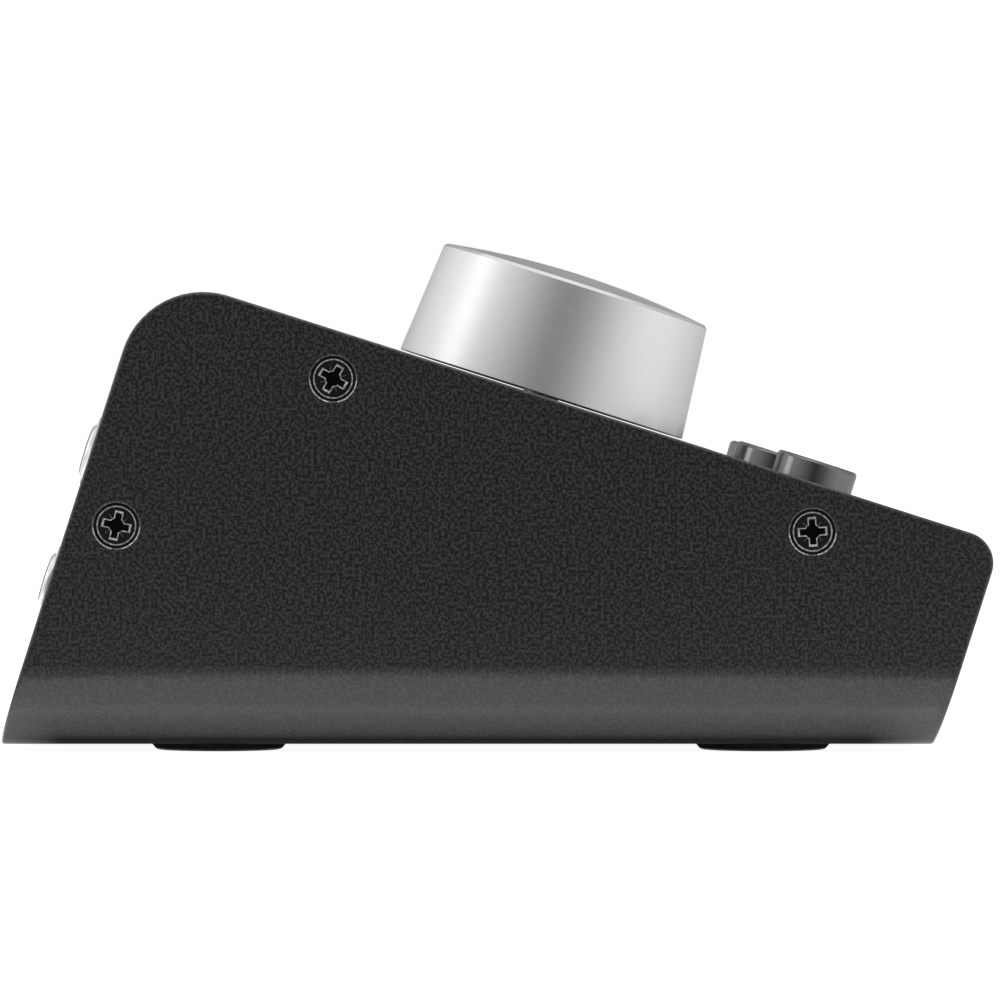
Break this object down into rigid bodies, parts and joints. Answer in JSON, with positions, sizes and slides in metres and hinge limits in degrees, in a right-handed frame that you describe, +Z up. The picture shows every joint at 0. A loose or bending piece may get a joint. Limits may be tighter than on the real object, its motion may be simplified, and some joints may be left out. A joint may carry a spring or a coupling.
{
  "type": "monitor controller",
  "caption": "Wedge-shaped desktop monitor controller with a large volume knob, push buttons on the sloping panel and jack sockets at the rear.",
  "frame": {"origin": "on the table, under the middle of the case's bounding box", "axes": "+Z up, +Y towards the socket panel at the rear, +X to the right seen from the front"},
  "size_m": [0.14, 0.1564, 0.0823],
  "materials": {
    "powder_coat": "fine-textured black powder coat on steel sheet",
    "knob_aluminium": "bead-blasted and clear anodised, turned crown",
    "button_plastic": "satin dark grey moulding",
    "foot_rubber": "matt black rubber",
    "black_screw_steel": "black oxide steel",
    "zinc_steel": "bright zinc plate",
    "bright_nickel": "bright nickel plate",
    "spring_steel": "cold-drawn spring wire",
    "brass": "turned brass",
    "tinned_brass": "tin-plated spring brass",
    "black_moulding": "black glass-filled nylon",
    "switch_moulding": "dark grey moulding",
    "phenolic": "brown phenolic with carbon tracks",
    "board_laminate": "green solder mask on glass laminate",
    "ribbon_insulation": "grey flexible insulation"
  },
  "bodies": {
    "case": {"base_tray": "powder_coat", "control_panel": "powder_coat", "side_screws": "black_screw_steel", "clinch_nuts": "zinc_steel", "front_left_foot": "foot_rubber", "front_right_foot": "foot_rubber", "rear_left_foot": "foot_rubber", "rear_right_foot": "foot_rubber", "pot_bushing": "brass", "pot_housing": "zinc_steel", "pot_element": "phenolic", "pot_terminals": "tinned_brass", "input_switch": "switch_moulding", "input_spring": "spring_steel", "mono_switch": "switch_moulding", "mono_spring": "spring_steel", "mute_switch": "switch_moulding", "mute_spring": "spring_steel", "dim_switch": "switch_moulding", "dim_spring": "spring_steel", "monitor_switch": "switch_moulding", "monitor_spring": "spring_steel", "control_board": "board_laminate", "board_standoffs": "zinc_steel", "board_screws": "zinc_steel", "input_1_left_jack": "black_moulding", "input_1_right_jack": "black_moulding", "input_2_left_jack": "black_moulding", "input_2_right_jack": "black_moulding", "monitor_1_left_jack": "black_moulding", "monitor_1_right_jack": "black_moulding", "monitor_2_left_jack": "black_moulding", "monitor_2_right_jack": "black_moulding", "jack_barrels": "bright_nickel", "jack_washers": "bright_nickel", "jack_nuts": "bright_nickel", "jack_contacts": "tinned_brass", "jack_board": "board_laminate", "ribbon_sockets": "black_moulding", "ribbon_cable": "ribbon_insulation"},
    "knob": {"knob_shell": "knob_aluminium", "knob_hub": "black_moulding", "pot_shaft": "zinc_steel", "pot_wiper": "black_moulding"},
    "input_key": {"input_button": "button_plastic", "input_plunger": "switch_moulding"},
    "mono_key": {"mono_button": "button_plastic", "mono_plunger": "switch_moulding"},
    "mute_key": {"mute_button": "button_plastic", "mute_plunger": "switch_moulding"},
    "dim_key": {"dim_button": "button_plastic", "dim_plunger": "switch_moulding"},
    "monitor_key": {"monitor_button": "button_plastic", "monitor_plunger": "switch_moulding"}
  },
  "joints": [
    {"name": "knob_turn", "type": "hinge", "parent": "case", "child": "knob", "pos_m": [0, -0.00734, 0.05632], "axis": [0, -0.304, 0.9527], "range_deg": [-150, 150]},
    {"name": "input_press", "type": "slide", "parent": "case", "child": "input_key", "axis": [0, 0.304, -0.9527], "range_m": [0, 0.0025], "stiffness_N_per_m": 400, "springref_m": -0.0025, "deforming": ["input_spring"]},
    {"name": "mono_press", "type": "slide", "parent": "case", "child": "mono_key", "axis": [0, 0.304, -0.9527], "range_m": [0, 0.0025], "stiffness_N_per_m": 400, "springref_m": -0.0025, "deforming": ["mono_spring"]},
    {"name": "mute_press", "type": "slide", "parent": "case", "child": "mute_key", "axis": [0, 0.304, -0.9527], "range_m": [0, 0.0025], "stiffness_N_per_m": 400, "springref_m": -0.0025, "deforming": ["mute_spring"]},
    {"name": "dim_press", "type": "slide", "parent": "case", "child": "dim_key", "axis": [0, 0.304, -0.9527], "range_m": [0, 0.0025], "stiffness_N_per_m": 400, "springref_m": -0.0025, "deforming": ["dim_spring"]},
    {"name": "monitor_press", "type": "slide", "parent": "case", "child": "monitor_key", "axis": [0, 0.304, -0.9527], "range_m": [0, 0.0025], "stiffness_N_per_m": 400, "springref_m": -0.0025, "deforming": ["monitor_spring"]}
  ]
}
